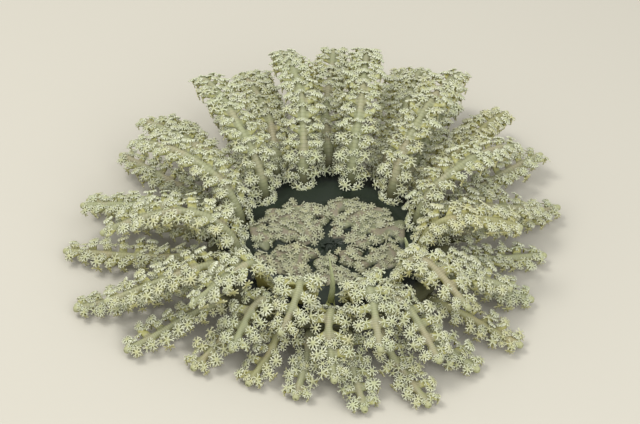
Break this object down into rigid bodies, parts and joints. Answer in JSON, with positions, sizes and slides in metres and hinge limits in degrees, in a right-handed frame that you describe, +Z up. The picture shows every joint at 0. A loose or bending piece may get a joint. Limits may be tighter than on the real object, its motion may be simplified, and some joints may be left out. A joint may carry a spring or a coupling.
{
  "type": "sea anemone",
  "caption": "Tree anemone as a still life-size model: a low foot and column, a sunken oral disc with short fronds, and three rings of feathery tentacles that arch out and drape down",
  "frame": {"origin": "centre of the flat underside of the foot, on the floor", "axes": "+Z up, along the column; +X and +Y along the floor, with the crown's longer and higher side at +Y; the picture looks along +Y"},
  "size_m": [0.1943, 0.1906, 0.046],
  "materials": {
    "column_flesh": "wet, matt flesh",
    "disc_flesh": "wet, matt flesh",
    "frond_flesh": "wet, matt flesh",
    "tentacle_flesh": "wet, matt flesh"
  },
  "bodies": {
    "root": {"pedal_disc": "column_flesh", "column": "column_flesh", "oral_disc": "disc_flesh", "mouth": "disc_flesh", "inner_frond_1": "frond_flesh", "inner_frond_2": "frond_flesh", "inner_frond_3": "frond_flesh", "inner_frond_4": "frond_flesh", "inner_frond_5": "frond_flesh", "young_tentacle_1": "tentacle_flesh", "young_tentacle_2": "tentacle_flesh", "tentacle_inner_01": "tentacle_flesh", "tentacle_inner_02": "tentacle_flesh", "tentacle_inner_03": "tentacle_flesh", "tentacle_inner_04": "tentacle_flesh", "tentacle_inner_05": "tentacle_flesh", "tentacle_inner_06": "tentacle_flesh", "tentacle_inner_07": "tentacle_flesh", "tentacle_inner_08": "tentacle_flesh", "tentacle_inner_09": "tentacle_flesh", "tentacle_inner_10": "tentacle_flesh", "tentacle_inner_11": "tentacle_flesh", "tentacle_inner_12": "tentacle_flesh", "tentacle_middle_01": "tentacle_flesh", "tentacle_middle_02": "tentacle_flesh", "tentacle_middle_03": "tentacle_flesh", "tentacle_middle_04": "tentacle_flesh", "tentacle_middle_05": "tentacle_flesh", "tentacle_middle_06": "tentacle_flesh", "tentacle_middle_07": "tentacle_flesh", "tentacle_middle_08": "tentacle_flesh", "tentacle_middle_09": "tentacle_flesh", "tentacle_middle_10": "tentacle_flesh", "tentacle_middle_11": "tentacle_flesh", "tentacle_middle_12": "tentacle_flesh", "tentacle_outer_01": "tentacle_flesh", "tentacle_outer_02": "tentacle_flesh", "tentacle_outer_03": "tentacle_flesh", "tentacle_outer_04": "tentacle_flesh", "tentacle_outer_05": "tentacle_flesh", "tentacle_outer_06": "tentacle_flesh", "tentacle_outer_07": "tentacle_flesh", "tentacle_outer_08": "tentacle_flesh", "tentacle_outer_09": "tentacle_flesh", "tentacle_outer_10": "tentacle_flesh", "tentacle_outer_11": "tentacle_flesh", "tentacle_outer_12": "tentacle_flesh", "tentacle_outer_13": "tentacle_flesh", "tentacle_outer_14": "tentacle_flesh", "tentacle_outer_15": "tentacle_flesh", "tentacle_outer_16": "tentacle_flesh", "tentacle_outer_17": "tentacle_flesh", "tentacle_outer_18": "tentacle_flesh", "tentacle_outer_19": "tentacle_flesh", "tentacle_outer_20": "tentacle_flesh", "tentacle_outer_21": "tentacle_flesh", "tentacle_outer_22": "tentacle_flesh", "tentacle_outer_23": "tentacle_flesh", "tentacle_outer_24": "tentacle_flesh"}
  },
  "joints": []
}
